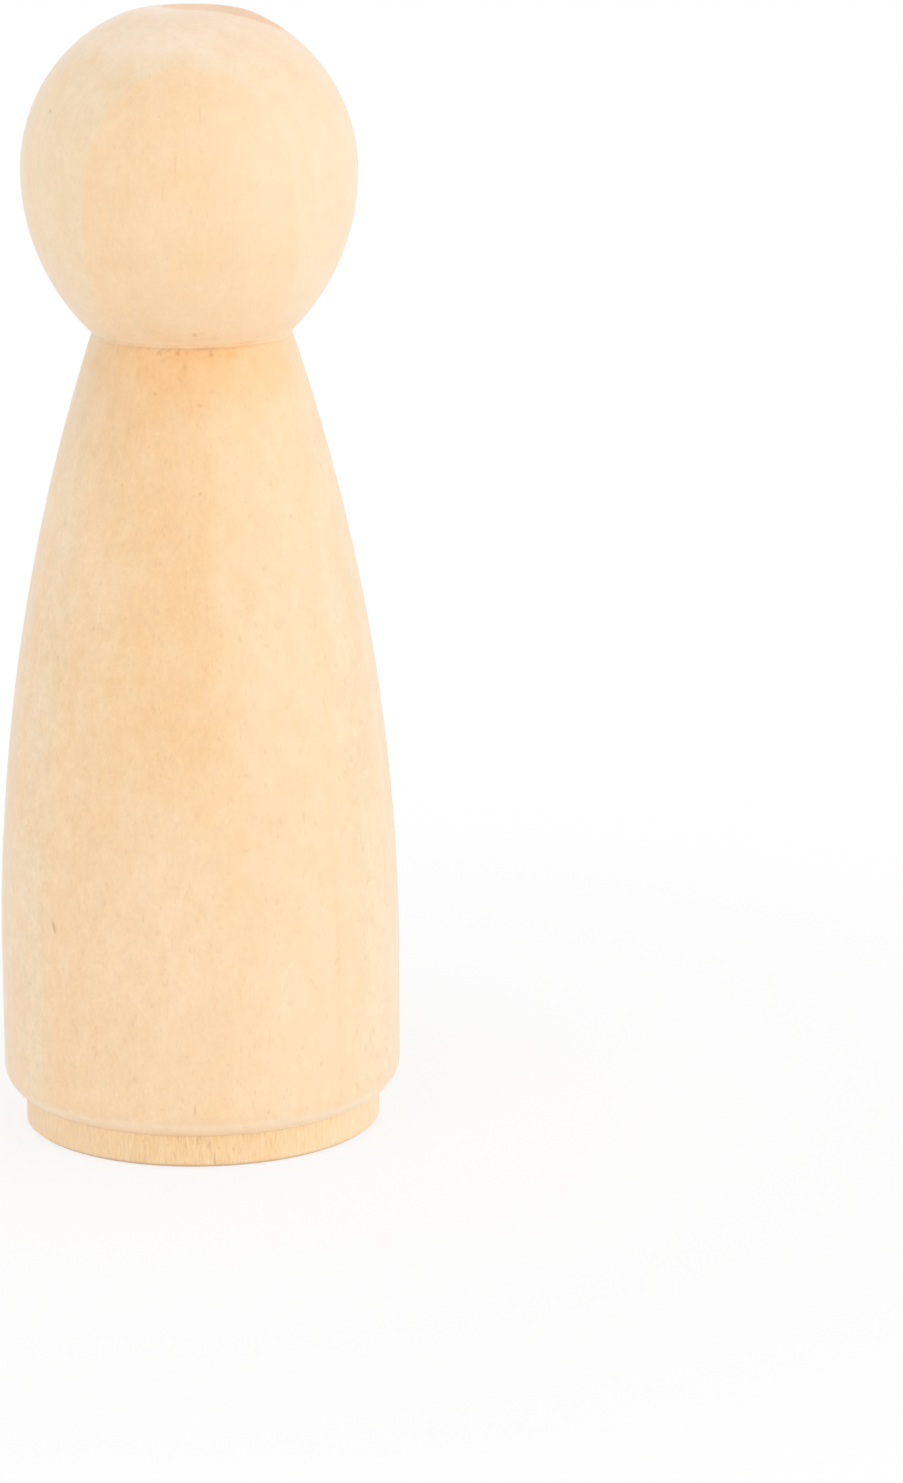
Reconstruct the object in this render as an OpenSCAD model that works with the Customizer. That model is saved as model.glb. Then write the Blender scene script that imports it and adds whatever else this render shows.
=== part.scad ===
// Turned wooden peg doll: a ball head, a bell-shaped body and a set-back foot.
// The head is joined to the body by a fluted dowel, and the foot by its own tenon.
// The origin is the centre of the foot's underside, and +Z runs up the doll.

/* [Head] */
// Diameter of the head at its widest
head_d = 19.1; // [17:0.1:22]
// Radius of the curve from the widest place down to the chin
chin_curve_r = 12.8; // [11:0.1:18]
// Diameter of the flat sawn across the crown
crown_d = 5.6; // [3:0.1:8]

/* [Body] */
// Diameter of the neck, where the chin sits on the body
neck_d = 11.4; // [10:0.1:14]
// Width of the eased edge round the top of the body
neck_ease = 0.15; // [0.05:0.01:0.3]
// Diameter of the body at its widest
body_d = 23.2; // [22:0.1:28]
// Height of the body, from the foot to the chin
body_h = 44.7; // [38:0.1:60]
// Height of the straight wall between the foot and the flank
wall_h = 8.2; // [4:0.1:12]
// Radius of the rounded lower edge of the body
hem_r = 1.9; // [0.6:0.1:2.4]

/* [Foot] */
// Diameter of the foot
foot_d = 20.7; // [18:0.1:21]
// Height of the foot below the body
foot_h = 1.9; // [1.2:0.1:4]
// Chamfer round the foot's lower edge
foot_chamfer = 0.2; // [0.1:0.05:0.5]
// Diameter of the tenon that holds the foot in the body
tenon_d = 8; // [5:0.1:12]
// Length of the tenon
tenon_l = 9; // [5:0.5:14]
// Chamfer on the tenon's end
tenon_chamfer = 0.8; // [0.3:0.1:1.5]

/* [Neck dowel] */
// Diameter of the dowel in the neck
dowel_d = 6; // [4:0.5:8]
// Length of the dowel, half of it in the head and half in the body
dowel_l = 20; // [12:1:26]
// Chamfer on the dowel's ends
dowel_chamfer = 0.6; // [0.3:0.1:1]
// Number of glue flutes round the dowel
flute_count = 12; // [6:1:16]
// Radius of the cutter that makes each flute
flute_cutter_r = 0.5; // [0.3:0.05:0.7]
// Depth of each flute
flute_depth = 0.25; // [0.1:0.05:0.4]

/* [Fits] */
// Room for glue round the dowel and the tenon, on each side
glue_room = 0.05; // [0.02:0.01:0.1]
// Room for spare glue past the ends of the dowel and the tenon
end_room = 0.5; // [0.3:0.1:1]

/* [Hidden] */

$fn = 120;
// Sides of the flank's circle, which is large, and of which the body has a short stretch
flank_fn = 480;
// Sides of a flute's small circle
flute_fn = 24;
// A cut starts this far outside the face that it goes through
past = 1;

head_r = head_d / 2;
neck_r = neck_d / 2;
body_r = body_d / 2;
foot_r = foot_d / 2;
tenon_r = tenon_d / 2;
dowel_r = dowel_d / 2;

neck_z = foot_h + body_h;
wall_z = foot_h + wall_h;
tenon_top = foot_h + tenon_l;

// The chin curve is upright at the head's widest place and ends at the neck
chin_h = sqrt(pow(chin_curve_r, 2) - pow(chin_curve_r - head_r + neck_r, 2));
equator_z = neck_z + chin_h;
crown_z = equator_z + sqrt(pow(head_r, 2) - pow(crown_d / 2, 2));

// The flank is one arc: upright where it leaves the straight wall, and through the neck's edge
flank_rise = neck_z - wall_z;
flank_gain = body_r - neck_r;
flank_r = (pow(flank_rise, 2) + pow(flank_gain, 2)) / (2 * flank_gain);
flank_x = body_r - flank_r;

// The hem's arc reaches just past the straight wall, so that the two cross
hem_reach = 0.02;
hem_x = body_r - hem_r + hem_reach;
// Where the arc would run in under the body past the foot's wall, it ends on that wall
hem_tuck = max(0, hem_r - body_r + foot_r);
hem_z = foot_h + sqrt(pow(hem_r, 2) - pow(hem_tuck, 2));

wood = [0.98, 0.86, 0.69];
foot_wood = [0.96, 0.82, 0.62];
dowel_wood = [0.90, 0.76, 0.56];

// Part of a disc between two heights, on the +X side of the axis
module disc_band(x, z, r, low, high) {
    intersection() {
        translate([x, z]) circle(r);
        translate([0, low]) square([x + r + past, high - low]);
    }
}

module head_outline() {
    disc_band(0, equator_z, head_r, equator_z, crown_z);
    disc_band(head_r - chin_curve_r, equator_z, chin_curve_r, neck_z, equator_z);
}

// All that the hem leaves: the whole width above it, and a rounded edge below
module hem_limit() {
    translate([0, hem_z]) square([body_d, body_h]);
    translate([0, foot_h]) square([hem_x, body_h]);
    translate([hem_x, hem_z]) circle(hem_r);
}

// The corner that the top of the body loses where its edge is eased
module neck_corner() {
    start = neck_r - neck_ease;
    polygon([[start, neck_z], [start + past, neck_z - past], [start + past, neck_z + past]]);
}

module body_outline() {
    difference() {
        intersection() {
            union() {
                translate([0, foot_h]) square([body_r, wall_h]);
                disc_band(flank_x, wall_z, flank_r, wall_z, neck_z, $fn = flank_fn);
            }
            hem_limit();
        }
        neck_corner();
    }
}

// Hole for half of the neck dowel, upwards from the neck when up is true
module dowel_hole(up) {
    depth = dowel_l / 2 + end_room;
    translate([0, 0, neck_z - (up ? past : depth)])
        cylinder(r = dowel_r + glue_room, h = depth + past);
}

module tenon_hole() {
    translate([0, 0, foot_h - past])
        cylinder(r = tenon_r + glue_room, h = tenon_l + end_room + past);
}

// One flute, cut along the whole dowel
module flute() {
    translate([dowel_r + flute_cutter_r - flute_depth, 0, -past])
        cylinder(r = flute_cutter_r, h = dowel_l + 2 * past, $fn = flute_fn);
}

module head() {
    color(wood)
        difference() {
            rotate_extrude() head_outline();
            dowel_hole(true);
        }
}

module neck_dowel() {
    color(dowel_wood)
        translate([0, 0, neck_z - dowel_l / 2])
            difference() {
                rotate_extrude()
                    polygon([
                        [0, 0],
                        [dowel_r - dowel_chamfer, 0],
                        [dowel_r, dowel_chamfer],
                        [dowel_r, dowel_l - dowel_chamfer],
                        [dowel_r - dowel_chamfer, dowel_l],
                        [0, dowel_l]
                    ]);
                for (i = [0 : flute_count - 1])
                    rotate([0, 0, i * 360 / flute_count]) flute();
            }
}

module body() {
    color(wood)
        difference() {
            rotate_extrude() body_outline();
            dowel_hole(false);
            tenon_hole();
        }
}

// The foot's disc and its tenon are one turning
module foot() {
    color(foot_wood)
        rotate_extrude()
            polygon([
                [0, 0],
                [foot_r - foot_chamfer, 0],
                [foot_r, foot_chamfer],
                [foot_r, foot_h],
                [tenon_r, foot_h],
                [tenon_r, tenon_top - tenon_chamfer],
                [tenon_r - tenon_chamfer, tenon_top],
                [0, tenon_top]
            ]);
}

head();
neck_dowel();
body();
foot();
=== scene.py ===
"""A turned wooden peg doll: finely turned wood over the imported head, body and foot."""

import math
from collections import namedtuple

import bpy
from mathutils import Matrix, Vector, noise
from mathutils.bvhtree import BVHTree


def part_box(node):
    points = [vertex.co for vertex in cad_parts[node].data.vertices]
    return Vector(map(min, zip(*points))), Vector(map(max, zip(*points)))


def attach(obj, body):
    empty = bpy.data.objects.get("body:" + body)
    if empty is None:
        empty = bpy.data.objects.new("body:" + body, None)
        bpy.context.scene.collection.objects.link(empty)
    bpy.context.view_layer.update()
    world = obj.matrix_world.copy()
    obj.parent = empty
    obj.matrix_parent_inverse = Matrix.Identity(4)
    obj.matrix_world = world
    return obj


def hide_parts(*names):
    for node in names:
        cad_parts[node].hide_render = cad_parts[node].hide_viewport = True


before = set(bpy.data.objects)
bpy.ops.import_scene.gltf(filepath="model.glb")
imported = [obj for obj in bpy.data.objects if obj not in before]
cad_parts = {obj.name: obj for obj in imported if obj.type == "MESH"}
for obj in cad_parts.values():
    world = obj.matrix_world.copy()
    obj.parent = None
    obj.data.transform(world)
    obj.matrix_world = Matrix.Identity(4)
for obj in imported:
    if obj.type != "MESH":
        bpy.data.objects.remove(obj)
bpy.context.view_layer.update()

MM = 0.001

# The photograph: its size in pixels, and the place and turn of the camera that took it
IMAGE_WIDTH = 903
IMAGE_HEIGHT = 1483
FOCAL_PIXELS = 5277
SENSOR_MM = 36
CAMERA_PLACE = Vector((0, -297.65, 93.81)) * MM
CAMERA_PITCH = math.radians(13.491)
CAMERA_YAW = math.radians(2.829)
CAMERA_ROLL = math.radians(-0.201)
CLIP_START = 10 * MM

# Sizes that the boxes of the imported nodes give
head_low, head_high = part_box("head")
body_low, body_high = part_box("body")
_, foot_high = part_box("foot")
dowel_low, dowel_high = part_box("neck_dowel")
NECK_Z = head_low.z
CROWN_Z = head_high.z
STEP_Z = body_low.z
TENON_TOP = foot_high.z
HEAD_R = head_high.x
BODY_R = max(body_high.x, body_high.y)
FOOT_R = foot_high.x

# Sizes of the turned outline that the boxes don't give
NECK_R = 5.7 * MM
NECK_EASE = 0.02 * MM
CROWN_R = 2.8 * MM
CROWN_EASE = 5 * MM
CHIN_CURVE_R = 12.8 * MM
WALL_Z = STEP_Z + 8.2 * MM
HEM_R = 1.9 * MM
FOOT_CHAMFER = 0.2 * MM
TENON_R = 4 * MM
TENON_CHAMFER = 0.8 * MM
DOWEL_HOLE_R = 3.05 * MM
TENON_HOLE_R = 4.05 * MM
END_ROOM = 0.5 * MM

EQUATOR_Z = CROWN_Z - math.sqrt(HEAD_R**2 - CROWN_R**2)
FLANK_RISE = NECK_Z - WALL_Z
FLANK_GAIN = BODY_R - NECK_R
FLANK_R = (FLANK_RISE**2 + FLANK_GAIN**2) / (2 * FLANK_GAIN)
FLANK_X = BODY_R - FLANK_R

# Spacing of the mesh along the outline and round the axis
OUTLINE_STEP = 0.2 * MM
HIDDEN_STEP = 1.5 * MM
TURN_SEGMENTS = 360
FOOT_SEGMENTS = 1200
SHARP_ANGLE = math.radians(20)
# A point of an outline with a smaller radius than this lies on the axis
ON_AXIS = 1e-9

# Relief that the tools left on the wood. Waves are counted per millimetre
SANDING_RELIEF = 0.03 * MM
SANDING_WAVES = 0.12
LINE_RELIEF = 0.006 * MM
LINE_WAVES = Vector((0.05, 0.05, 2.2))
# Relief stops this close to a joint, which stays tight
JOINT_REACH = 1.5 * NECK_EASE
# Rings of the cutter on the crown and on the underside
CROWN_RELIEF = 0.02 * MM
CROWN_PITCH = 0.72 * MM
UNDER_RELIEF = 0.03 * MM
UNDER_PITCH = 0.9 * MM
# A point this close to the crown's height lies on its flat
CROWN_REACH = OUTLINE_STEP / 4
# Ribs round the foot, with the waves that bend them and the patches where they are weaker
RIBS = ((97, 2), (151, 3), (223, 4))
RIB_RELIEF = 0.015 * MM
RIB_BEND = 3
RIB_PATCHES = 0.4
RIB_PATCH_WAVES = 9

# Heights of the joints in millimetres, for the shaders
NECK = NECK_Z / MM
STEP = STEP_Z / MM

# Growth rings, in millimetres: nearly flat sheets square to Y, that fall back at the neck
RING_Y = -6.95
RING_STEP = 5.5
RING_CURVE = 0.0225
RING_FALL = 3.2
RING_FALL_Z = 44.5
RING_FALL_SPAN = 7
RING_WANDER = 0.5
# Depths behind the first ring between which the wood turns pale: softly on the body, crisply on the head
BODY_RING_EDGE = (-0.05, 2.2)
HEAD_RING_EDGE = (-0.3, 0.15)
# Where in a ring its pale wood fades and its dark late wood shows, as shares of the ring
PALE_FADE = (0.6, 1.0)
LATE_WOOD = (0.92, 0.985)
# How pale the wood is at the end of a ring, all over the body, and towards +X, where sapwood and painted
# light make it paler
RING_END_PALE = 0.4
BODY_PALE = 0.3
SAPWOOD_AND_LIGHT_PALE = 0.7

# How much each noise deepens the wood's colour
TONE_DRIFT = 0.25
TONE_MOTTLE = 0.42
TONE_YEARS = 0.15
TONE_SPECKLE = 0.1
# How much each noise lightens the wood
GRAIN_SPECKLE = 0.14
GRAIN_FIBRES = 0.04
GRAIN_SANDING = 0.02
GRAIN_CLOUD = 0.04
# Heights between which the body's bold figure goes over into the head's, in millimetres
HEAD_FIGURE = (44, 50)

# How much deeper the colour is in the streak, in the neck's stain and all over the body. The streak and the
# neck's stain are partly painted shade
STREAK_AND_SHADE_DEPTH = 0.17
STAIN_AND_SHADE_DEPTH = 0.5
BODY_DEPTH = 0.11
CHIN_STAIN_AND_SHADE = 0.26
# How much lighter the rays are, how much painted shade darkens the neck's left, and how much darker the
# crown's right is
RAY_LIGHT = 0.06
NECK_DARK = 0.06
CROWN_DARK = 0.09

# Dark patch of end grain on the crown, in millimetres: its middle, its half lengths and its slant
PATCH_X = 2.0
PATCH_Y = 0.4
PATCH_HALF_X = 4.0
PATCH_HALF_Y = 2.9
PATCH_SLANT = 0.08
# Part of the patch that is bare of sheen, as the square of a share of its half lengths
PATCH_BARE = 0.75

# How much the foot's wood varies
FOOT_MOTTLE = 0.9
FOOT_RIBS = 0.3
FOOT_TEARS = 0.36

# Finish of the wood. Reliefs are in millimetres
SANDED_ROUGHNESS = 0.55
BARE_ROUGHNESS = 0.85
FOOT_ROUGHNESS = 0.6
DOWEL_ROUGHNESS = 0.6
TONE_ROUGHNESS = 0.3
TONE_RELIEF = 0.02
SANDED_PORES = 0.005
BARE_PORES = 0.01
FIBRE_RELIEF = 0.01
SHEEN = 0.45
SHEEN_ROUGHNESS = 0.5
GLOSS = 0.5
BARE_SHEEN = 0.2
BARE_GLOSS = 0.1

# Marks in the wood, by the pixel of the photograph where each shows, with sizes in millimetres
Mark = namedtuple("Mark", "pixel width length shade tint lean", defaults=("umber", 0))
MARKS = (
    Mark(pixel=(54, 927), width=0.14, length=0.62, shade=0.56, lean=-11),
    Mark(pixel=(50, 111), width=0.17, length=0.18, shade=0.36),
    Mark(pixel=(195, 335), width=0.24, length=0.2, shade=0.35),
    Mark(pixel=(159, 353), width=0.22, length=0.2, shade=0.32),
    Mark(pixel=(163, 361), width=0.24, length=0.2, shade=0.19),
    Mark(pixel=(178, 354), width=0.2, length=0.2, shade=0.35),
    Mark(pixel=(211, 355), width=0.24, length=0.22, shade=0.38),
    Mark(pixel=(185, 367), width=0.22, length=0.35, shade=0.22),
    Mark(pixel=(180, 380), width=0.13, length=0.4, shade=0.19, lean=-30),
    Mark(pixel=(200, 406), width=0.2, length=0.18, shade=0.32),
    Mark(pixel=(200, 494), width=0.17, length=0.18, shade=0.32),
    Mark(pixel=(291, 516), width=0.18, length=0.2, shade=0.22),
    Mark(pixel=(195, 1110), width=0.1, length=0.6, shade=0.32),
    # The amber marks along the joint are partly real blots and partly painted shade under the head
    Mark(pixel=(232, 354), width=0.6, length=0.32, shade=0.55, tint="amber"),
    Mark(pixel=(216, 339), width=0.4, length=0.2, shade=0.25, tint="amber"),
    Mark(pixel=(226, 349), width=1.1, length=0.4, shade=0.35, tint="amber"),
    Mark(pixel=(246, 344), width=1.0, length=0.35, shade=0.4, tint="amber"),
    Mark(pixel=(136, 349), width=1.1, length=0.35, shade=0.15, tint="amber"),
    Mark(pixel=(155, 394), width=0.16, length=0.16, shade=0.26),
    Mark(pixel=(212, 392), width=0.3, length=0.26, shade=0.25, tint="rust"),
    Mark(pixel=(52, 641), width=0.09, length=0.8, shade=0.19),
    Mark(pixel=(65, 522), width=0.09, length=0.6, shade=0.19),
    Mark(pixel=(200, 114), width=0.09, length=0.8, shade=0.16),
    Mark(pixel=(175, 165), width=0.09, length=1.1, shade=0.16),
    Mark(pixel=(191, 212), width=0.1, length=0.4, shade=0.16),
)
MARK_DEPTH = 1.5

# Stage: sizes in metres, shades of white and strengths of light
FLOOR_SIZE = 3.0
SHADOW_NEAR = 15 * MM
SHADOW_FAR = 90 * MM
SHADOW_WHITE = 0.78
PAPER = (0.95, 0.95, 0.95, 1.0)
WHITE = (1.0, 1.0, 1.0, 1.0)
AMBIENT = 1.05
ZENITH = 0.68
LIGHT_AIM = Vector((0, 0, 30)) * MM
LIGHT_HEIGHT = 0.12
LIGHT_DISTANCE = 0.45
LIGHT_WIDTH = 0.45
LIGHT_TALL = 0.5


def srgb(red, green, blue):
    """A colour written in 8-bit display values, as linear light with alpha."""
    def linear(value):
        share = value / 255
        return share / 12.92 if share <= 0.04045 else ((share + 0.055) / 1.055) ** 2.4

    return (linear(red), linear(green), linear(blue), 1.0)


HONEY = srgb(250, 215, 171)
PALE = srgb(246, 219, 182)
AMBER = srgb(240, 178, 100)
BROWN = srgb(186, 128, 78)
SIENNA = srgb(196, 124, 66)
UMBER = srgb(188, 112, 46)
RUST = srgb(226, 172, 132)
END_AND_TOP_LIGHT_PALE = srgb(253, 222, 192)
CREAM = srgb(255, 238, 214)
FOOT_HONEY = srgb(247, 213, 165)
CROWN_TAN = srgb(255, 212, 174)
DOWEL_BIRCH = srgb(232, 200, 152)
TINTS = {"umber": UMBER, "amber": AMBER, "rust": RUST}


# Camera

def camera_axes():
    """The camera's directions to the right, up and forward."""
    forward = Vector((
        math.sin(CAMERA_YAW) * math.cos(CAMERA_PITCH),
        math.cos(CAMERA_YAW) * math.cos(CAMERA_PITCH),
        -math.sin(CAMERA_PITCH),
    ))
    level = Vector((math.cos(CAMERA_YAW), -math.sin(CAMERA_YAW), 0))
    upright = level.cross(forward)
    right = level * math.cos(CAMERA_ROLL) + upright * math.sin(CAMERA_ROLL)
    up = upright * math.cos(CAMERA_ROLL) - level * math.sin(CAMERA_ROLL)
    return right, up, forward


def make_camera():
    """The photograph's camera. It looks past the doll, which stands to the left in the frame."""
    right, up, forward = camera_axes()
    data = bpy.data.cameras.new("camera")
    data.sensor_width = SENSOR_MM
    data.lens = SENSOR_MM * FOCAL_PIXELS / IMAGE_HEIGHT
    data.clip_start = CLIP_START
    camera = bpy.data.objects.new("camera", data)
    bpy.context.scene.collection.objects.link(camera)
    rotation = Matrix((right, up, -forward)).transposed()
    camera.matrix_world = Matrix.Translation(CAMERA_PLACE) @ rotation.to_4x4()
    bpy.context.scene.camera = camera


def pixel_direction(pixel):
    """The direction from the camera through a pixel of the photograph."""
    right, up, forward = camera_axes()
    across = (pixel[0] - IMAGE_WIDTH / 2) / FOCAL_PIXELS
    down = (pixel[1] - IMAGE_HEIGHT / 2) / FOCAL_PIXELS
    return (forward + across * right - down * up).normalized()


# Outlines: points (radius, height) from the axis round to the axis again

def line(start, end, step):
    """Points from start towards end, without end."""
    start, end = Vector(start), Vector(end)
    count = max(1, round((end - start).length / step))
    return [start.lerp(end, i / count) for i in range(count)]


def arc(centre, radius, start, end, step):
    """Points along an arc, without its end. Angles are from straight out, positive upwards."""
    count = max(1, round(abs(end - start) * radius / step))
    angles = [start + (end - start) * i / count for i in range(count)]
    return [Vector(centre) + radius * Vector((math.cos(a), math.sin(a))) for a in angles]


def head_outline():
    """The head with its dowel hole: a chin curve, a ball and a flat crown."""
    hole_z = dowel_high.z + END_ROOM
    chin_x = HEAD_R - CHIN_CURVE_R
    chin_angle = math.acos((NECK_R - chin_x) / CHIN_CURVE_R)
    # Sanding has eased the edge of the crown's flat into an arc that is tangent to the ball
    ease_z = CROWN_Z - CROWN_EASE
    ease_angle = math.asin((ease_z - EQUATOR_Z) / (HEAD_R - CROWN_EASE))
    ease_x = (HEAD_R - CROWN_EASE) * math.cos(ease_angle)
    return [
        *line((0, hole_z), (DOWEL_HOLE_R, hole_z), HIDDEN_STEP),
        *line((DOWEL_HOLE_R, hole_z), (DOWEL_HOLE_R, NECK_Z), HIDDEN_STEP),
        *line((DOWEL_HOLE_R, NECK_Z), (NECK_R, NECK_Z), HIDDEN_STEP),
        *arc((chin_x, EQUATOR_Z), CHIN_CURVE_R, -chin_angle, 0, OUTLINE_STEP),
        *arc((0, EQUATOR_Z), HEAD_R, 0, ease_angle, OUTLINE_STEP),
        *arc((ease_x, ease_z), CROWN_EASE, ease_angle, math.pi / 2, OUTLINE_STEP),
        *line((ease_x, CROWN_Z), (0, CROWN_Z), OUTLINE_STEP),
        Vector((0, CROWN_Z)),
    ]


def body_outline():
    """The body with its socket and its dowel hole: a hem, a straight wall and a long flank."""
    dowel_end = dowel_low.z - END_ROOM
    tenon_end = TENON_TOP + END_ROOM
    ease_r = NECK_R - NECK_EASE
    flank_top = math.asin((NECK_Z - NECK_EASE - WALL_Z) / FLANK_R)
    # The hem's arc ends on the foot's wall and is tangent to the straight wall
    hem_x = BODY_R - HEM_R
    hem_angle = math.acos((FOOT_R - hem_x) / HEM_R)
    hem_z = STEP_Z + HEM_R * math.sin(hem_angle)
    return [
        *line((0, tenon_end), (TENON_HOLE_R, tenon_end), HIDDEN_STEP),
        *line((TENON_HOLE_R, tenon_end), (TENON_HOLE_R, STEP_Z), HIDDEN_STEP),
        *line((TENON_HOLE_R, STEP_Z), (FOOT_R, STEP_Z), HIDDEN_STEP),
        *arc((hem_x, hem_z), HEM_R, -hem_angle, 0, OUTLINE_STEP),
        *line((BODY_R, hem_z), (BODY_R, WALL_Z), OUTLINE_STEP),
        *arc((FLANK_X, WALL_Z), FLANK_R, 0, flank_top, OUTLINE_STEP),
        Vector((NECK_R, NECK_Z - NECK_EASE)),
        *line((ease_r, NECK_Z), (DOWEL_HOLE_R, NECK_Z), HIDDEN_STEP),
        *line((DOWEL_HOLE_R, NECK_Z), (DOWEL_HOLE_R, dowel_end), HIDDEN_STEP),
        *line((DOWEL_HOLE_R, dowel_end), (0, dowel_end), HIDDEN_STEP),
        Vector((0, dowel_end)),
    ]


def foot_outline():
    """The foot's disc and the tenon above it."""
    tenon_corner = (TENON_R - TENON_CHAMFER, TENON_TOP)
    return [
        *line((0, 0), (FOOT_R - FOOT_CHAMFER, 0), OUTLINE_STEP),
        *line((FOOT_R - FOOT_CHAMFER, 0), (FOOT_R, FOOT_CHAMFER), OUTLINE_STEP),
        *line((FOOT_R, FOOT_CHAMFER), (FOOT_R, STEP_Z), OUTLINE_STEP),
        *line((FOOT_R, STEP_Z), (TENON_R, STEP_Z), HIDDEN_STEP),
        *line((TENON_R, STEP_Z), (TENON_R, TENON_TOP - TENON_CHAMFER), HIDDEN_STEP),
        *line((TENON_R, TENON_TOP - TENON_CHAMFER), tenon_corner, HIDDEN_STEP),
        *line(tenon_corner, (0, TENON_TOP), HIDDEN_STEP),
        Vector((0, TENON_TOP)),
    ]


# Meshes

def outward(outline, i):
    """The direction square to an outline at its point i, away from the wood."""
    along = outline[min(i + 1, len(outline) - 1)] - outline[max(i - 1, 0)]
    return Vector((along.y, -along.x)).normalized()


def lathe_points(outline, segments, hollow):
    """The points of a turned outline, and for each point of the outline the ring of points it makes."""
    points = []
    rings = []
    for i, point in enumerate(outline):
        if point.x < ON_AXIS:
            rings.append([len(points)])
            points.append((0, 0, point.y))
            continue
        rings.append(list(range(len(points), len(points) + segments)))
        normal = outward(outline, i)
        for turn in range(segments):
            angle = 2 * math.pi * turn / segments
            radius, height = point - normal * hollow(point.x, angle, point.y)
            points.append((radius * math.cos(angle), radius * math.sin(angle), height))
    return points, rings


def lathe_faces(rings, segments):
    """Faces between neighbouring rings. A ring of one point closes to a fan."""
    faces = []
    for low, high in zip(rings, rings[1:]):
        for i in range(segments):
            j = (i + 1) % segments
            if len(low) == 1:
                faces.append((low[0], high[j], high[i]))
            elif len(high) == 1:
                faces.append((low[i], low[j], high[0]))
            else:
                faces.append((low[i], low[j], high[j], high[i]))
    return faces


def lathe(name, outline, segments, hollow):
    """Turns an outline about Z. hollow(radius, angle, height) says how deep the surface lies under it."""
    points, rings = lathe_points(outline, segments, hollow)
    mesh = bpy.data.meshes.new(name)
    mesh.from_pydata(points, [], lathe_faces(rings, segments))
    mesh.validate()
    mesh.shade_smooth()
    mesh.set_sharp_from_angle(angle=SHARP_ANGLE)
    piece = bpy.data.objects.new(name, mesh)
    bpy.context.scene.collection.objects.link(piece)
    return piece


def to_share(wave):
    """A wave between -1 and 1, as a share from 0 to 1."""
    return 0.5 + 0.5 * wave


def tool_rings(radius, pitch):
    """The rings that a cutter leaves on a flat face, from 0 to 1."""
    return to_share(math.sin(2 * math.pi * radius / pitch))


def turned_hollow(radius, angle, height):
    """Faint waves that sanding leaves, with tight joints, and the cutter's rings on the crown."""
    if height > CROWN_Z - CROWN_REACH:
        return CROWN_RELIEF * tool_rings(radius, CROWN_PITCH)
    if min(abs(height - NECK_Z), abs(height - STEP_Z)) < JOINT_REACH:
        return 0
    place = Vector((radius * math.cos(angle), radius * math.sin(angle), height)) / MM
    broad = to_share(noise.noise(place * SANDING_WAVES))
    lines = to_share(noise.noise(place * LINE_WAVES))
    return SANDING_RELIEF * broad + LINE_RELIEF * lines


def foot_hollow(radius, angle, height):
    """The torn fibres of the foot's wall, which no sanding has closed, and the cutter's rings below."""
    if height == 0:
        return UNDER_RELIEF * tool_rings(radius, UNDER_PITCH)
    if radius < FOOT_R - FOOT_CHAMFER:
        return 0
    turn = angle / (2 * math.pi)
    place = Vector((math.cos(angle), math.sin(angle), height / FOOT_R))
    ribs = 0
    for count, waves in RIBS:
        ribs += math.sin(2 * math.pi * (count * turn + RIB_BEND * noise.noise(place * waves)))
    patches = 1 - RIB_PATCHES + RIB_PATCHES * noise.noise(place * RIB_PATCH_WAVES)
    return RIB_RELIEF * to_share(ribs / len(RIBS)) * patches


def search_tree(piece):
    """The faces of a piece, for casting rays at them."""
    corners = [vertex.co for vertex in piece.data.vertices]
    faces = [polygon.vertices for polygon in piece.data.polygons]
    return BVHTree.FromPolygons(corners, faces)


def surface_place(trees, pixel):
    """Where the line through a pixel of the photograph first meets the doll, in millimetres."""
    hits = [tree.ray_cast(CAMERA_PLACE, pixel_direction(pixel)) for tree in trees]
    place, *_ = min((hit for hit in hits if hit[0]), key=lambda hit: hit[3])
    return place / MM


def place_marks(pieces):
    """Each mark, with the place of its middle on the pieces."""
    trees = [search_tree(piece) for piece in pieces]
    return [(mark, surface_place(trees, mark.pixel)) for mark in MARKS]


# Shader fields

class Field:
    """A number or a colour that varies over a surface: one output of a shader node."""

    def __init__(self, graph, socket):
        self.graph = graph
        self.socket = socket

    def __add__(self, other):
        return self.graph.math("ADD", self, other)

    def __sub__(self, other):
        return self.graph.math("SUBTRACT", self, other)

    def __rsub__(self, other):
        return self.graph.math("SUBTRACT", other, self)

    def __mul__(self, other):
        return self.graph.math("MULTIPLY", self, other)

    def __truediv__(self, other):
        return self.graph.math("DIVIDE", self, other)

    __radd__ = __add__
    __rmul__ = __mul__


# A tint laid over a colour: where it lies, from 0 to 1, and how strong it is there
Layer = namedtuple("Layer", "share strength tint")


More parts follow.
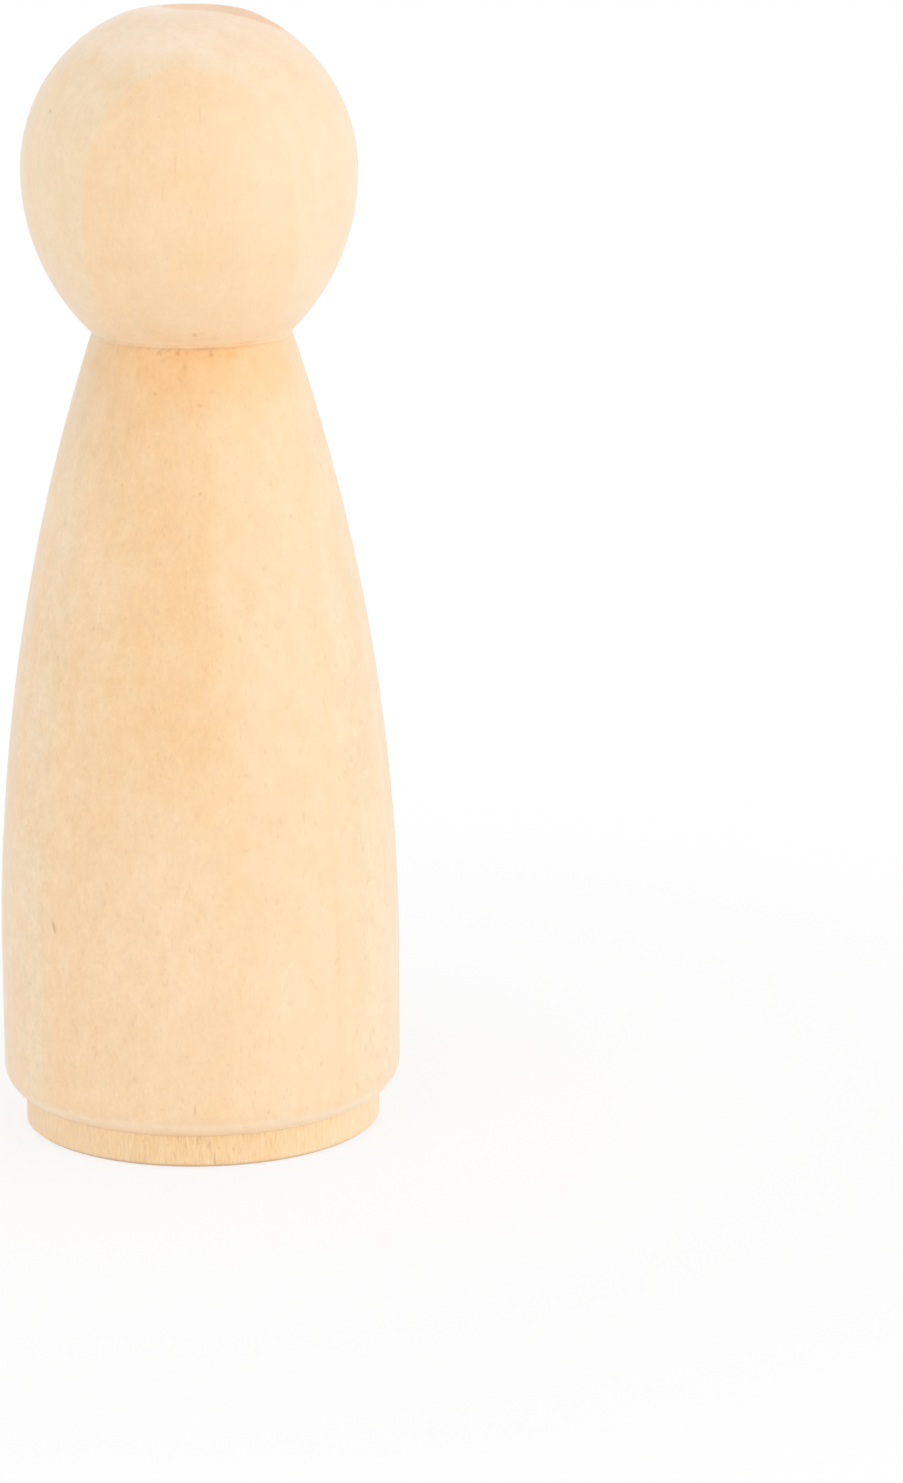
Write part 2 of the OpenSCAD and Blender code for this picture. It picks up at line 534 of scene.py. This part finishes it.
class Graph:
    """One shader tree, with places on the surface in millimetres."""

    def __init__(self, owner):
        owner.use_nodes = True
        self.tree = owner.node_tree
        self.tree.nodes.clear()

    def add(self, kind, inputs, output=0, **settings):
        """A new node, as the field of its output. Inputs are fields or plain values."""
        node = self.tree.nodes.new(kind)
        for key, value in settings.items():
            setattr(node, key, value)
        self.connect(node, inputs)
        return Field(self, node.outputs[output])

    def connect(self, node, inputs):
        for key, value in inputs.items():
            if isinstance(value, Field):
                self.tree.links.new(value.socket, node.inputs[key])
            else:
                node.inputs[key].default_value = value

    def end(self, kind, surface):
        self.connect(self.tree.nodes.new(kind), {"Surface": surface})

    def math(self, operation, first, second=0.0):
        return self.add("ShaderNodeMath", {0: first, 1: second}, operation=operation)

    def vector(self, operation, inputs, output=0):
        return self.add("ShaderNodeVectorMath", inputs, output=output, operation=operation)

    def largest(self, first, *others):
        for other in others:
            first = self.math("MAXIMUM", first, other)
        return first

    def read_surface(self):
        """Finds the place on the surface, its parts, and how far the surface faces up or to the side."""
        metres = self.add("ShaderNodeTexCoord", {}, output="Object")
        self.place = self.vector("MULTIPLY", {0: metres, 1: (1 / MM,) * 3})
        self.x, self.y, self.z = self.parts(self.place)
        normal = self.add("ShaderNodeTexCoord", {}, output="Normal")
        self.normal_x, _, self.normal_z = self.parts(normal)

    def parts(self, vector):
        return [self.add("ShaderNodeSeparateXYZ", {0: vector}, output=i) for i in range(3)]

    def noise(self, waves, detail=2.0, roughness=0.5, place=None):
        """Noise from 0 to 1. waves gives its waves per millimetre along X, Y and Z."""
        scaled = self.vector("MULTIPLY", {0: place or self.place, 1: waves})
        inputs = {"Vector": scaled, "Scale": 1.0, "Detail": detail, "Roughness": roughness}
        return self.add("ShaderNodeTexNoise", inputs)

    def ripple(self, waves, **settings):
        """Noise about 0, from -0.5 to 0.5."""
        return self.noise(waves, **settings) - 0.5

    def span(self, value, start, end, first=0.0, last=1.0):
        """Goes smoothly from first, where value is at start or short of it, to last, at end and past it."""
        inputs = {"Value": value, "From Min": start, "From Max": end, "To Min": first, "To Max": last}
        return self.add("ShaderNodeMapRange", inputs, interpolation_type="SMOOTHSTEP")

    def band(self, value, rise, fall):
        """Comes up from 0 to 1 over the range rise, and goes back to 0 over the range fall."""
        return self.span(value, *rise) * self.span(value, *reversed(fall))

    def bell(self, value, middle, width):
        """1 at middle, falling to about a third at width away from it."""
        share = (value - middle) / width
        return self.math("EXPONENT", share * share * -1.0)

    def spot(self, centre, size, lean):
        """1 in the middle of an ellipsoid, falling to 0 at its edge. It leans about Y, in degrees."""
        turn = (0, math.radians(lean), 0)
        inputs = {"Vector": self.place, "Location": centre, "Rotation": turn, "Scale": size}
        moved = self.add("ShaderNodeMapping", inputs, vector_type="TEXTURE")
        return self.span(self.vector("LENGTH", {0: moved}, output="Value"), 1.0, 0.0)

    def tint(self, colour, *layers):
        """The colour under its layers, the last of which lies on top."""
        for layer in layers:
            inputs = {0: layer.share * layer.strength, 6: colour, 7: layer.tint}
            colour = self.add("ShaderNodeMix", inputs, output=2, data_type="RGBA")
        return colour

    def deepen(self, colour, amount):
        """The colour made deeper and darker where amount is over 0, and paler where it is under 0."""
        return self.add("ShaderNodeGamma", {"Color": colour, "Gamma": amount + 1.0})

    def lighten(self, colour, amount):
        """The colour made lighter by a share, or darker where amount is under 0."""
        return self.vector("SCALE", {0: colour, "Scale": amount + 1.0})


# Wood of the head and the body

def ring_depth(graph):
    """How far behind the growth ring that shows on the front, in millimetres."""
    fall = graph.bell(graph.z, RING_FALL_Z, RING_FALL_SPAN) * RING_FALL
    wander = graph.ripple(waves=(0.1, 0.1, 0.04)) * RING_WANDER
    bow = graph.x * graph.x * RING_CURVE
    return graph.y - RING_Y - fall + bow + wander


def ring_colour(graph, depth):
    """Honey wood in front of the first growth ring, paler behind it and towards +X, with dark ring ends.
    The paler +X side is partly sapwood and partly painted light on the side the right panel lights.
    """
    on_head = graph.span(graph.z, NECK - 1, NECK + 4)
    edges = zip(BODY_RING_EDGE, HEAD_RING_EDGE)
    start, end = [graph.span(on_head, 0.0, 1.0, first=body, last=head) for body, head in edges]
    phase = graph.math("FRACT", depth / RING_STEP)
    rings = graph.span(depth, start, end) * graph.span(phase, *PALE_FADE, first=1.0, last=RING_END_PALE)
    off_chin = 1 - graph.bell(graph.z, middle=NECK + 0.5, width=4.0)
    # Paler towards +X: sapwood, and painted light on the side the right panel lights
    sapwood_and_light = graph.span(graph.x, 0.0, 4.5) * off_chin * SAPWOOD_AND_LIGHT_PALE
    pale = graph.largest(rings, (1 - on_head) * BODY_PALE, sapwood_and_light)
    late = graph.span(phase, *LATE_WOOD) * graph.span(graph.x, 0.0, 3.0) * graph.span(graph.z, 24, 16)
    return graph.tint(
        HONEY,
        Layer(pale, strength=1.0, tint=PALE),
        Layer(late, strength=0.035, tint=BROWN),
    )


def wood_tone(graph, depth, speckle):
    """How much deeper than its plain colour the wood is, from place to place: about 0 on average."""
    drift = graph.ripple(waves=(0.2, 0.2, 0.13), detail=1, roughness=1.0)
    mottle = graph.ripple(waves=(0.8, 0.8, 0.55), detail=1, roughness=0.8)
    layers = graph.add("ShaderNodeCombineXYZ", {0: depth, 1: graph.x, 2: graph.z})
    years = graph.ripple(waves=(1, 0.1, 0.05), detail=2, place=layers)
    tone = drift * TONE_DRIFT + mottle * TONE_MOTTLE + years * TONE_YEARS - speckle * TONE_SPECKLE
    by_height = graph.span(graph.z, *HEAD_FIGURE, first=1.15, last=0.75)
    on_top = graph.span(graph.normal_z, 0.3, 0.8, first=0.0, last=0.5)
    return tone * (by_height + on_top) * graph.span(graph.x, -6, 6, first=1.0, last=0.7)


def wood_grain(graph, speckle):
    """Fine lightness of the fibres and of the sanded surface: about 0 on average."""
    fibres = graph.ripple(waves=(3.5, 3.5, 0.6))
    sanding = graph.ripple(waves=(0.3, 0.3, 3.5))
    cloud = graph.ripple(waves=(1.1, 1.1, 0.7), detail=1)
    grain = speckle * GRAIN_SPECKLE + fibres * GRAIN_FIBRES + sanding * GRAIN_SANDING + cloud * GRAIN_CLOUD
    by_height = graph.span(graph.z, *HEAD_FIGURE, first=1.0, last=0.75)
    return grain * graph.span(graph.x, -8, 8, first=1.3, last=0.7) * by_height


def heart_streak_and_shade(graph):
    """A warmer streak up the front of the body, left of its middle: partly wood colour, partly painted
    shade between the light of the two panels.
    """
    across = graph.band(graph.x, rise=(-5.2, -2.8), fall=(0.0, 1.8))
    along = graph.band(graph.z, rise=(19, 26), fall=(43, 47))
    return across * along * graph.span(graph.y, 0.0, -4.0)


def neck_stain_and_shade(graph):
    """Colour that has gathered in the neck, with shade painted under the head: strong and patchy just under
    the seam, weak on the chin.
    """
    patches = graph.noise(waves=(0.5, 0.5, 0.7)) + 0.5
    under = graph.band(graph.z, rise=(NECK - 4.5, NECK - 0.3), fall=(NECK - 0.3, NECK - 0.05))
    chin = graph.band(graph.z, rise=(NECK, NECK + 0.4), fall=(NECK + 0.4, NECK + 1.8))
    front = graph.bell(graph.x, middle=0.3, width=5.2)
    return graph.largest(under * patches * front, chin * CHIN_STAIN_AND_SHADE)


def neck_shade(graph):
    """1 at the left of the neck under the chin, where shade is painted on the wood."""
    return graph.band(graph.z, rise=(36, 43), fall=(NECK, NECK + 0.5)) * graph.span(graph.x, -2.5, -5.0)


def seam_groove_shade(graph):
    """Painted shade of the joint's groove, laid on as a golden line along the joint, weaker towards the
    sides.
    """
    patches = graph.span(graph.noise(waves=(0.6, 0.6, 0.6)), 0.3, 0.6, first=0.6, last=1.0)
    seam = graph.bell(graph.z, middle=NECK - 0.16, width=0.11)
    return seam * patches * graph.bell(graph.x, middle=0.2, width=4.5)


def seam_specks(graph):
    """Dark specks along the underside of the joint between head and body."""
    under = graph.bell(graph.z, middle=NECK - 0.4, width=0.35)
    specks = graph.span(graph.noise(waves=(3.5, 3.5, 3), roughness=0.7), 0.5, 0.65)
    return under * specks * graph.bell(graph.x, middle=-0.5, width=3.6)


def brow_light(graph):
    """1 on the pale wood that arches over the front of the head, left of its middle."""
    arch = graph.bell(graph.normal_z, middle=0.8, width=0.07)
    return arch * graph.span(graph.x, 3.0, 0.0) * graph.span(graph.y, 0.0, -3.0)


def ray_flecks(graph):
    """Where rays in the wood come flat to the surface, at the sides: about 0 on average."""
    side = graph.bell(graph.math("ABSOLUTE", graph.normal_x), middle=0.84, width=0.1)
    flecks = graph.noise(waves=(1.4, 1.4, 1.5), roughness=0.8)
    return (graph.span(flecks, 0.35, 0.65) - 0.5) * side * graph.span(graph.z, 36, 28)


def off_patch(x, y):
    """How far off the middle of the crown's dark patch, from 0 to 1 at its edge, squared."""
    across = (x - PATCH_X) / PATCH_HALF_X
    along = (y - PATCH_Y + (x - PATCH_X) * PATCH_SLANT) / PATCH_HALF_Y
    return across * across + along * along


def crown_stain(graph):
    """1 on the dark patch of end grain on the crown, falling to 0 round it."""
    away = off_patch(graph.x, graph.y)
    by_side = graph.span(graph.x, -2, 2, first=-0.2, last=0.4)
    patches = graph.noise(waves=(0.9, 1.8, 0.9), detail=3) + by_side
    return graph.span(away, 1.0, 0.55) * patches * graph.span(graph.normal_z, 0.4, 0.6)


def is_bare(face):
    """Whether a face of the head lies on the crown's dark patch, where end grain is bare."""
    x, y, z = face.center / MM
    return off_patch(x, y) < PATCH_BARE and z > EQUATOR_Z / MM


def mark_layers(graph, marks):
    """The layers of the marks. Each is a small leaning ellipsoid about its place on the surface."""
    layers = []
    for mark, centre in marks:
        spot = graph.spot(centre, (mark.width, MARK_DEPTH, mark.length), mark.lean)
        layers.append(Layer(spot, mark.shade, TINTS[mark.tint]))
    return layers


def deep_colour(graph, depth, tone):
    """The colour of the wood without its fine figure: rings, pale end grain, streak and stain, with painted
    light on upward faces and painted shade in the streak and stain.
    """
    colour = graph.tint(
        ring_colour(graph, depth),
        # Paler on upward faces: the end grain there, and painted light from above
        Layer(graph.span(graph.normal_z, 0.55, 0.95), strength=0.6, tint=END_AND_TOP_LIGHT_PALE),
        Layer(brow_light(graph), strength=0.35, tint=CREAM),
    )
    on_body = graph.span(graph.z, NECK + 0.3, NECK - 0.3)
    # The streak and the neck's stain deepen the colour, each partly as painted shade
    gathered = heart_streak_and_shade(graph) * STREAK_AND_SHADE_DEPTH + neck_stain_and_shade(graph) * STAIN_AND_SHADE_DEPTH
    return graph.deepen(colour, tone + gathered + on_body * BODY_DEPTH)


def turned_colour(graph, marks):
    """The colour of the wood of head and body, and its tone and pores, which also shape the surface."""
    depth = ring_depth(graph)
    speckle = graph.ripple(waves=(3.2, 3.2, 2.4), roughness=0.9)
    tone = wood_tone(graph, depth, speckle)
    crown = crown_stain(graph)
    low_pale = graph.span(graph.z, 24, 10)
    pores = graph.span(graph.noise(waves=(9, 9, 1.1), detail=1), 0.64, 0.8)
    rays = graph.span(graph.noise(waves=(6, 0.4, 0.9), detail=1), 0.68, 0.8)
    flecks = graph.span(graph.noise(waves=(2.6, 2.6, 1.5), detail=1), 0.66, 0.76)
    # A painted highlight along the hem's lower rounding, where light from the floor catches it
    hem_highlight = graph.bell(graph.z, middle=STEP + 0.78, width=0.28)
    # Painted shade in the crease between the hem and the foot
    crease_shade = graph.bell(graph.z, middle=STEP + 0.06, width=0.16) * graph.span(graph.x, 7.0, 1.0)
    colour = graph.tint(
        deep_colour(graph, depth, tone),
        Layer(crown, strength=0.8, tint=CROWN_TAN),
        # Painted shade along the groove of the neck's joint
        Layer(seam_groove_shade(graph), strength=0.52, tint=SIENNA),
        Layer(seam_specks(graph), strength=0.3, tint=SIENNA),
        Layer(low_pale, strength=0.12, tint=CREAM),
        Layer(pores, strength=0.12, tint=BROWN),
        Layer(rays, strength=0.07, tint=BROWN),
        Layer(flecks * graph.span(graph.z, 46, 40), strength=0.1, tint=UMBER),
        # Painted highlight on the hem's rounding
        Layer(hem_highlight, strength=0.34, tint=CREAM),
        # Painted shade in the crease under the hem
        Layer(crease_shade, strength=0.2, tint=SIENNA),
    )
    crown_shade = crown * graph.span(graph.x, 0.5, 3.0)
    # Painted shade at the neck's left, under the chin
    darker = neck_shade(graph) * NECK_DARK + crown_shade * CROWN_DARK
    lighter = wood_grain(graph, speckle) + ray_flecks(graph) * RAY_LIGHT
    colour = graph.lighten(colour, lighter - darker)
    return graph.tint(colour, *mark_layers(graph, marks)), tone, pores


# Materials

def surface_graph(name):
    """A new material, and its shader tree with the surface read."""
    material = bpy.data.materials.new(name)
    graph = Graph(material)
    graph.read_surface()
    return material, graph


def wood_shader(graph, colour, roughness, relief, sheen=SHEEN, gloss=GLOSS):
    """Raw wood. Its relief is in millimetres."""
    bump = graph.add("ShaderNodeBump", {"Strength": 1.0, "Distance": MM, "Height": relief})
    shader = graph.add("ShaderNodeBsdfPrincipled", {
        "Base Color": colour,
        "Roughness": roughness,
        "Normal": bump,
        "Specular IOR Level": gloss,
        "Sheen Weight": sheen,
        "Sheen Roughness": SHEEN_ROUGHNESS,
    })
    graph.end("ShaderNodeOutputMaterial", shader)


def turned_wood(name, marks, roughness, pore_relief, **finish):
    """The wood of the head and the body, whose grain runs on from one to the other."""
    material, graph = surface_graph(name)
    colour, tone, pores = turned_colour(graph, marks)
    relief = tone * TONE_RELIEF - pores * pore_relief
    wood_shader(graph, colour, tone * TONE_ROUGHNESS + roughness, relief, **finish)
    return material


def foot_wood():
    """The foot's rougher wood: upright torn fibres on its wall, end grain on its underside."""
    material, graph = surface_graph("foot_wood")
    mottle = graph.ripple(waves=(0.3, 0.3, 0.2), detail=4, roughness=0.9)
    ribs = graph.ripple(waves=(4.5, 4.5, 0.3))
    tone = mottle * FOOT_MOTTLE + ribs * FOOT_RIBS
    strokes = graph.noise(waves=(7, 7, 1.2), roughness=0.7)
    front = graph.bell(graph.x, middle=0.5, width=6.0) * 0.8 + 0.2
    colour = graph.tint(
        graph.deepen(FOOT_HONEY, tone),
        Layer(graph.span(strokes, 0.55, 0.75) * front, strength=0.4, tint=BROWN),
        Layer(graph.span(strokes, 0.45, 0.25) * front, strength=0.4, tint=CREAM),
        # Paler towards +X, painted light on the side the right panel lights, and a little paler towards -X
        Layer(graph.span(graph.x, 2.0, 9.0), strength=0.25, tint=CREAM),
        Layer(graph.span(graph.x, -3.0, -7.0), strength=0.15, tint=CREAM),
    )
    tears = graph.ripple(waves=(11, 11, 1.4), roughness=0.7)
    colour = graph.lighten(colour, tears * FOOT_TEARS)

    end_grain = graph.span(graph.normal_z, -0.6, -0.95)
    layers = graph.add("ShaderNodeCombineXYZ", {0: ring_depth(graph)})
    years = graph.noise(waves=(1.1, 0.05, 0.05), detail=3, place=layers)
    dots = graph.span(graph.noise(waves=(7, 7, 7), detail=1), 0.6, 0.75) * end_grain
    edge = graph.bell(graph.z, middle=0.1, width=0.13)
    colour = graph.tint(
        colour,
        Layer(graph.span(years, 0.35, 0.7, first=0.1, last=0.55) * end_grain, strength=1.0, tint=RUST),
        Layer(dots, strength=0.4, tint=BROWN),
        Layer(edge, strength=0.25, tint=BROWN),
    )
    relief = tone * TONE_RELIEF - dots * BARE_PORES
    wood_shader(graph, colour, tone * TONE_ROUGHNESS + FOOT_ROUGHNESS, relief)
    return material


def dowel_wood():
    """Birch with straight fibres."""
    material, graph = surface_graph("dowel_wood")
    fibres = graph.noise(waves=(6, 6, 0.3), detail=3)
    colour = graph.tint(DOWEL_BIRCH, Layer(graph.span(fibres, 0.4, 0.75), strength=0.2, tint=BROWN))
    wood_shader(graph, colour, DOWEL_ROUGHNESS, fibres * FIBRE_RELIEF)
    return material


# Stage

def seen_rays(graph):
    """1 where the camera sees a surface, also by way of gloss or glass, and 0 where it gives light."""
    rays = ("Is Camera Ray", "Is Glossy Ray", "Is Transmission Ray")
    return graph.largest(*[graph.add("ShaderNodeLightPath", {}, output=ray) for ray in rays])


def floor_white():
    """White paper that shows the doll's shadow near its foot, and is pure white further off."""
    material = bpy.data.materials.new("floor_white")
    graph = Graph(material)
    place = graph.add("ShaderNodeTexCoord", {}, output="Object")
    away = graph.vector("LENGTH", {0: place}, output="Value")
    white_share = graph.span(away, SHADOW_NEAR, SHADOW_FAR, first=SHADOW_WHITE) * seen_rays(graph)
    paper = graph.add("ShaderNodeBsdfDiffuse", {"Color": PAPER})
    white = graph.add("ShaderNodeEmission", {"Color": WHITE, "Strength": 1.0})
    mixed = graph.add("ShaderNodeMixShader", {0: white_share, 1: paper, 2: white})
    graph.end("ShaderNodeOutputMaterial", mixed)
    return material


def make_floor():
    """A large sheet of paper under the doll."""
    mesh = bpy.data.meshes.new("floor")
    corners = [(x * FLOOR_SIZE, y * FLOOR_SIZE, 0) for x, y in ((-1, -1), (1, -1), (1, 1), (-1, 1))]
    mesh.from_pydata(corners, [], [(0, 1, 2, 3)])
    floor = bpy.data.objects.new("floor", mesh)
    bpy.context.scene.collection.objects.link(floor)
    mesh.materials.append(floor_white())


def make_world():
    """A white surround that lights the doll less from straight above than from the sides."""
    world = bpy.data.worlds.new("studio")
    bpy.context.scene.world = world
    graph = Graph(world)
    up = graph.parts(graph.add("ShaderNodeTexCoord", {}, output="Generated"))[2]
    sky = graph.span(up, 0.0, 1.0, first=AMBIENT, last=AMBIENT * ZENITH)
    seen = seen_rays(graph)
    strength = seen + (1 - seen) * sky
    surround = graph.add("ShaderNodeBackground", {"Color": WHITE, "Strength": strength})
    graph.end("ShaderNodeOutputWorld", surround)


def make_panel(name, bearing, radiance):
    """A soft light panel that faces the doll. Its bearing is from the camera's side, positive to +X."""
    turn = math.radians(bearing)
    place = Vector((math.sin(turn) * LIGHT_DISTANCE, -math.cos(turn) * LIGHT_DISTANCE, LIGHT_HEIGHT))
    data = bpy.data.lights.new(name, "AREA")
    data.shape = "RECTANGLE"
    data.size = LIGHT_WIDTH
    data.size_y = LIGHT_TALL
    data.energy = math.pi * LIGHT_WIDTH * LIGHT_TALL * radiance
    panel = bpy.data.objects.new(name, data)
    bpy.context.scene.collection.objects.link(panel)
    facing = (LIGHT_AIM - place).to_track_quat("-Z", "Y")
    panel.matrix_world = Matrix.Translation(place) @ facing.to_matrix().to_4x4()
    panel.visible_camera = False


# The doll on its stage

make_camera()
make_floor()
make_world()
make_panel("light_right", bearing=68, radiance=1.03)
make_panel("light_left", bearing=-30, radiance=0.38)

head = lathe("doll_head", head_outline(), TURN_SEGMENTS, turned_hollow)
body = lathe("doll_body", body_outline(), TURN_SEGMENTS, turned_hollow)
foot = lathe("doll_foot", foot_outline(), FOOT_SEGMENTS, foot_hollow)

marks = place_marks([head, body])
sanded = turned_wood("turned_wood", marks, SANDED_ROUGHNESS, SANDED_PORES)
# Bare end grain is dull, with little of the sheen of the sanded flanks
bare = turned_wood("crown_wood", marks, BARE_ROUGHNESS, BARE_PORES, sheen=BARE_SHEEN, gloss=BARE_GLOSS)
head.data.materials.append(sanded)
head.data.materials.append(bare)
for face in head.data.polygons:
    face.material_index = int(is_bare(face))
body.data.materials.append(sanded)
foot.data.materials.append(foot_wood())
for piece, node in ((head, "head"), (body, "body"), (foot, "foot")):
    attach(piece, "root")
    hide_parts(node)

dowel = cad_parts["neck_dowel"]
dowel.data.materials.clear()
dowel.data.materials.append(dowel_wood())

bpy.context.scene.view_settings.view_transform = "Standard"
